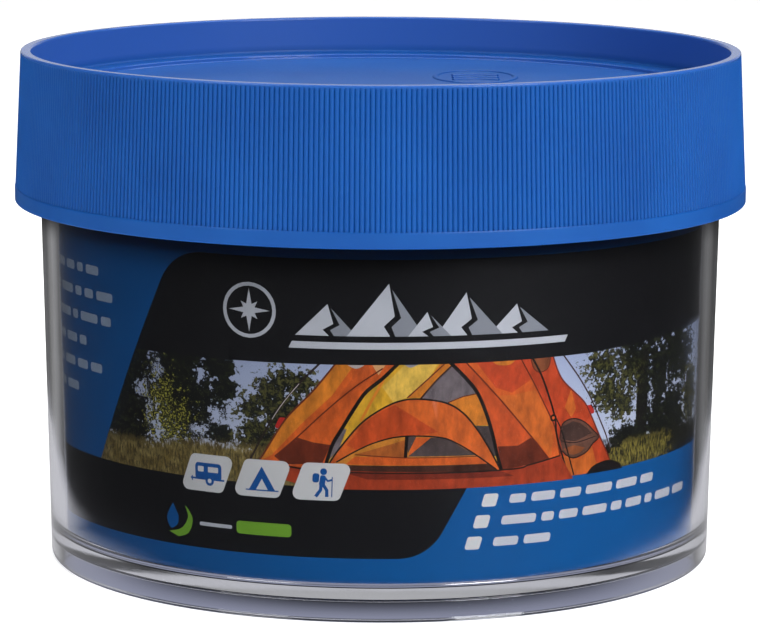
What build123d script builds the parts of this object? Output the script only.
from build123d import *
import os

# Clear straight-sided storage jar with a ribbed screw lid, a seal ring and a rolled label insert.
# The origin is the centre of the foot ring, on the surface that the jar stands on, and +Z is up.
# The front of the label faces -Y, and the card's lap starts at the back, on +Y.

# Driving dimensions, in millimetres
overall_height = 86.6
finish_diameter = 118.5  # over the jar's thread, for a 120 mm closure
thread_pitch = 5.08  # five threads to the inch
thread_depth = 1.35
wall = 2.6

# Jar
neck_radius = finish_diameter / 2 - thread_depth
base_radius = 56.65
base_corner = 0.8
neck_start_z = 60.0
mouth_z = 76.6
mouth_edge = 0.6
floor_z = 5.1
floor_thickness = 1.7
floor_corner = 2.0
foot_width = 3.0
foot_draft = 0.3

# Lid
rim_radius = 61.1
lip_radius = 62.32
lip_proud = 0.1
lip_height = 2.7
lid_bottom_z = 61.1
rim_wall = 1.75
rim_edge = 0.45
ledge_depth = 6.4
disc_drop = 0.7
disc_radius = 55.0
plate = 2.0
bore_clearance = 0.5
bore_lead = 1.2
fin_outer_radius = 54.2
fin_wall = 0.9
fin_bottom_z = 75.5
emblem_height = 0.25
emblem_place = (16.6, 21.0)
emblem_radii = (7.6, 11.2)
emblem_line = 1.1
chevron_arm = 4.2
chevron_rises = (-4.5, -1.0, 2.5)

# Seal ring
seal_inner_radius = 54.45
seal_outer_radius = 59.35
seal_thickness = 1.3
seal_edge = 0.3
face_gap = 0.05

# Label insert
card = 0.3
label_gap = 0.25
label_bottom_z = 6.17
label_top_z = 74.4
lap_angle = 14.0
lap_bite = 0.03  # the lap is joined to the turn outside it

# Threads
jar_thread_turns = 1.25
lid_thread_turns = 0.98
thread_start_z = 67.0
thread_root_half = 1.2
thread_crest_half = 0.5
thread_closing_gap = 0.7
thread_bite = 0.3

# Worked out from the above
ledge_z = overall_height - ledge_depth
disc_z = ledge_z - disc_drop
seat_z = mouth_z + seal_thickness + 2 * face_gap
bore_radius = finish_diameter / 2 + bore_clearance
recess_radius = rim_radius - rim_wall
jar_slope = (neck_radius - base_radius) / (neck_start_z - base_corner)
inner_neck_radius = neck_radius - wall
inner_base_radius = inner_neck_radius - jar_slope * (neck_start_z - floor_z)
lid_thread_start_z = thread_start_z - thread_pitch / 2 + thread_closing_gap


def thread_section(start, root, crest):
    """The ridge's trapezoid, on the plane at the helix's start, from root to crest along local X."""
    embedded = root - thread_bite if crest > root else root + thread_bite
    side = Plane(origin=(0, 0, start), x_dir=(1, 0, 0), z_dir=(0, -1, 0))
    with BuildSketch(side, mode=Mode.PRIVATE) as section:
        with BuildLine():
            Polyline(
                (embedded, -thread_root_half),
                (root, -thread_root_half),
                (crest, -thread_crest_half),
                (crest, thread_crest_half),
                (root, thread_root_half),
                (embedded, thread_root_half),
                close=True,
            )
        make_face()
    return section.sketch


with BuildPart() as jar_body:
    with BuildSketch(Plane.XZ) as jar_section:
        with BuildLine():
            foot_inner = base_radius - foot_width
            under_z = floor_z - floor_thickness
            Polyline(
                (0, under_z),
                (foot_inner - foot_draft, under_z),
                (foot_inner, 0),
                (base_radius, 0),
                (neck_radius, neck_start_z),
                (neck_radius, mouth_z),
                (inner_neck_radius, mouth_z),
                (inner_neck_radius, neck_start_z),
                (inner_base_radius, floor_z),
                (0, floor_z),
                close=True,
            )
        make_face()
        fillet(jar_section.vertices().group_by(Axis.Y)[-1], mouth_edge)
        fillet(jar_section.vertices().group_by(Axis.Y)[0].sort_by(Axis.X)[-1], base_corner)
        floor_points = jar_section.vertices().filter_by_position(Axis.Y, floor_z - 0.1, floor_z + 0.1)
        fillet(floor_points.sort_by(Axis.X)[-1], floor_corner)
    revolve(axis=Axis.Z)
    with BuildLine(mode=Mode.PRIVATE) as jar_helix:
        Helix(thread_pitch, thread_pitch * jar_thread_turns, neck_radius, center=(0, 0, thread_start_z))
    jar_thread = thread_section(thread_start_z, neck_radius, finish_diameter / 2)
    sweep(jar_thread, jar_helix.line, is_frenet=True)
jar_body.part.label = "jar_body"

with BuildPart() as lid:
    with BuildSketch(Plane.XZ) as lid_section:
        with BuildLine():
            lip_top_z = lid_bottom_z + lip_height
            Polyline(
                (0, disc_z),
                (disc_radius, disc_z),
                (disc_radius, ledge_z),
                (recess_radius, ledge_z),
                (recess_radius, overall_height),
                (rim_radius, overall_height),
                (lip_radius - lip_proud, lip_top_z),
                (lip_radius, lip_top_z),
                (lip_radius, lid_bottom_z),
                (bore_radius + bore_lead / 2, lid_bottom_z),
                (bore_radius, lid_bottom_z + bore_lead),
                (bore_radius, seat_z),
                (fin_outer_radius, seat_z),
                (fin_outer_radius, fin_bottom_z),
                (fin_outer_radius - fin_wall, fin_bottom_z),
                (fin_outer_radius - fin_wall, disc_z - plate),
                (0, disc_z - plate),
                close=True,
            )
        make_face()
        fillet(lid_section.vertices().group_by(Axis.Y)[-1], rim_edge)
        fillet(lid_section.vertices().group_by(Axis.Y)[0].sort_by(Axis.X)[-1], rim_edge)
    revolve(axis=Axis.Z)
    with BuildLine(mode=Mode.PRIVATE) as lid_helix:
        Helix(thread_pitch, thread_pitch * lid_thread_turns, bore_radius, center=(0, 0, lid_thread_start_z))
    lid_thread = thread_section(lid_thread_start_z, bore_radius, neck_radius + bore_clearance)
    sweep(lid_thread, lid_helix.line, is_frenet=True)
    with BuildSketch(Plane.XY.offset(disc_z)):
        with Locations(emblem_place):
            Ellipse(*emblem_radii)
            Ellipse(*(radius - emblem_line for radius in emblem_radii), mode=Mode.SUBTRACT)
        for rise in chevron_rises:
            with Locations((emblem_place[0], emblem_place[1] + rise)):
                Polygon(
                    (-chevron_arm, 0),
                    (0, chevron_arm / 2),
                    (chevron_arm, 0),
                    (chevron_arm, -emblem_line),
                    (0, chevron_arm / 2 - emblem_line),
                    (-chevron_arm, -emblem_line),
                    align=None,
                )
    extrude(amount=emblem_height)
lid.part.label = "lid"

with BuildPart() as seal_ring:
    with BuildSketch(Plane.XY.offset(mouth_z + face_gap)):
        Circle(seal_outer_radius)
        Circle(seal_inner_radius, mode=Mode.SUBTRACT)
    extrude(amount=seal_thickness)
    fillet(seal_ring.edges().filter_by(GeomType.CIRCLE), seal_edge)
seal_ring.part.label = "seal_ring"


def card_section(side, offset):
    """A strip of card standing offset inside the jar's wall, on a plane through the jar's axis."""
    bottom_radius = inner_base_radius + jar_slope * (label_bottom_z - floor_z) - offset
    top_radius = inner_neck_radius - offset
    with BuildSketch(side, mode=Mode.PRIVATE) as strip:
        with BuildLine():
            Polyline(
                (bottom_radius, label_bottom_z),
                (top_radius, neck_start_z),
                (top_radius, label_top_z),
                (top_radius - card, label_top_z),
                (top_radius - card, neck_start_z),
                (bottom_radius - card, label_bottom_z),
                close=True,
            )
        make_face()
    return strip.sketch


with BuildPart() as label_insert:
    revolve(card_section(Plane.XZ, label_gap), axis=Axis.Z)
    inner_turn = card_section(Plane.YZ, label_gap + card - lap_bite)
    revolve(inner_turn, axis=Axis.Z, revolution_arc=lap_angle)
label_insert.part.label = "label_insert"

os.makedirs("parts", exist_ok=True)
for piece in (jar_body, lid, seal_ring, label_insert):
    export_step(piece.part, f"parts/{piece.part.label}.step")
